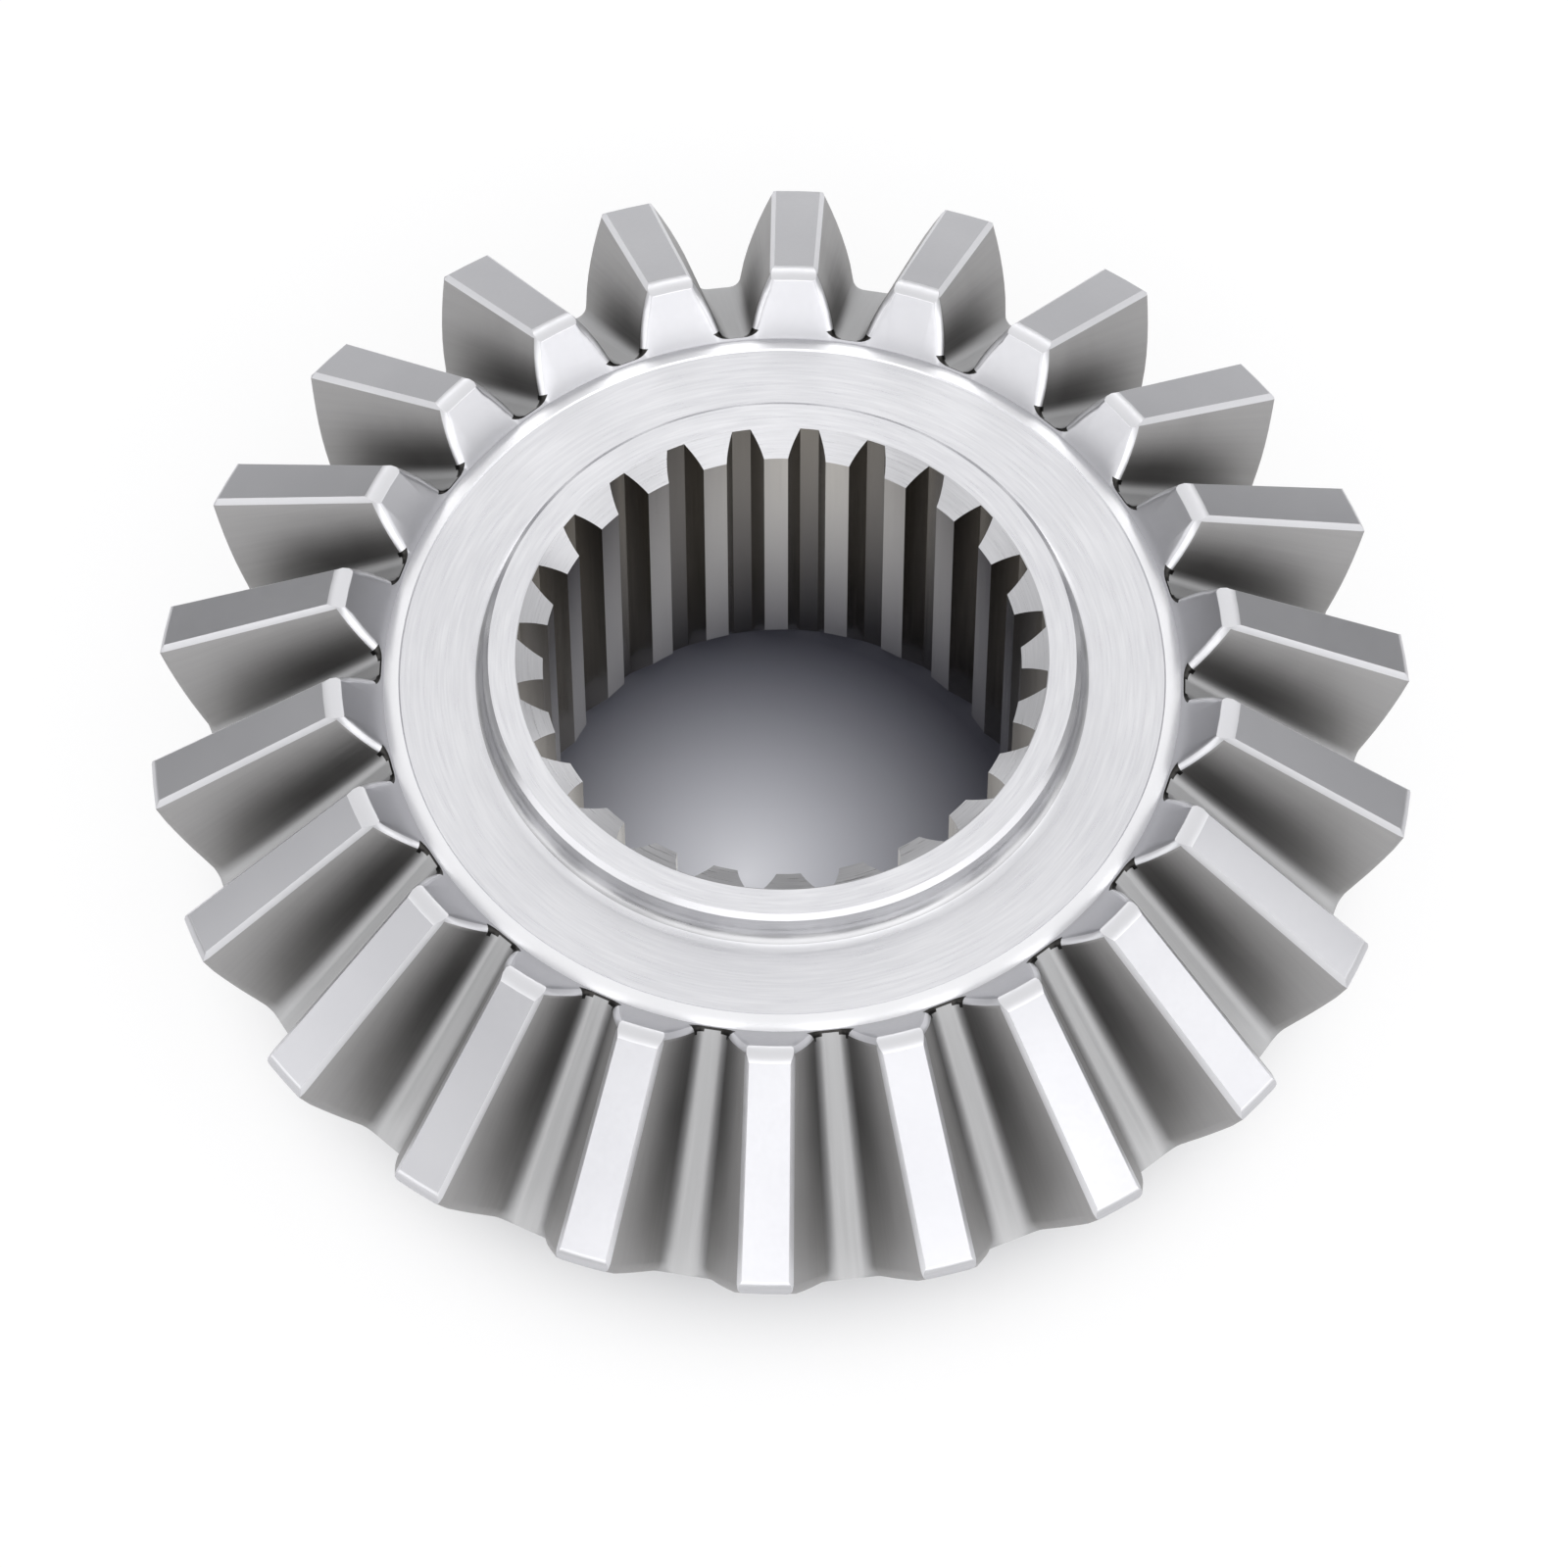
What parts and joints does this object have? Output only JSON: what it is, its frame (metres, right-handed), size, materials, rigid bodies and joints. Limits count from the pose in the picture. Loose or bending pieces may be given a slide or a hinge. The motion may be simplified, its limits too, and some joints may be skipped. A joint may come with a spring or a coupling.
{
  "type": "differential side gear",
  "caption": "Differential side gear: straight bevel gear with a raised front hub, a splined through bore and a plain journal with a thrust face behind the teeth.",
  "frame": {"origin": "centre of the rear end face of the journal, on the gear's axis", "axes": "+Z along the gear's axis, from the rear end face towards the front hub; +Y through the middle of one bevel tooth"},
  "size_m": [0.122, 0.1228, 0.0397],
  "materials": {
    "gear_steel": "satin"
  },
  "bodies": {
    "root": {"side_gear": "gear_steel"}
  },
  "joints": []
}
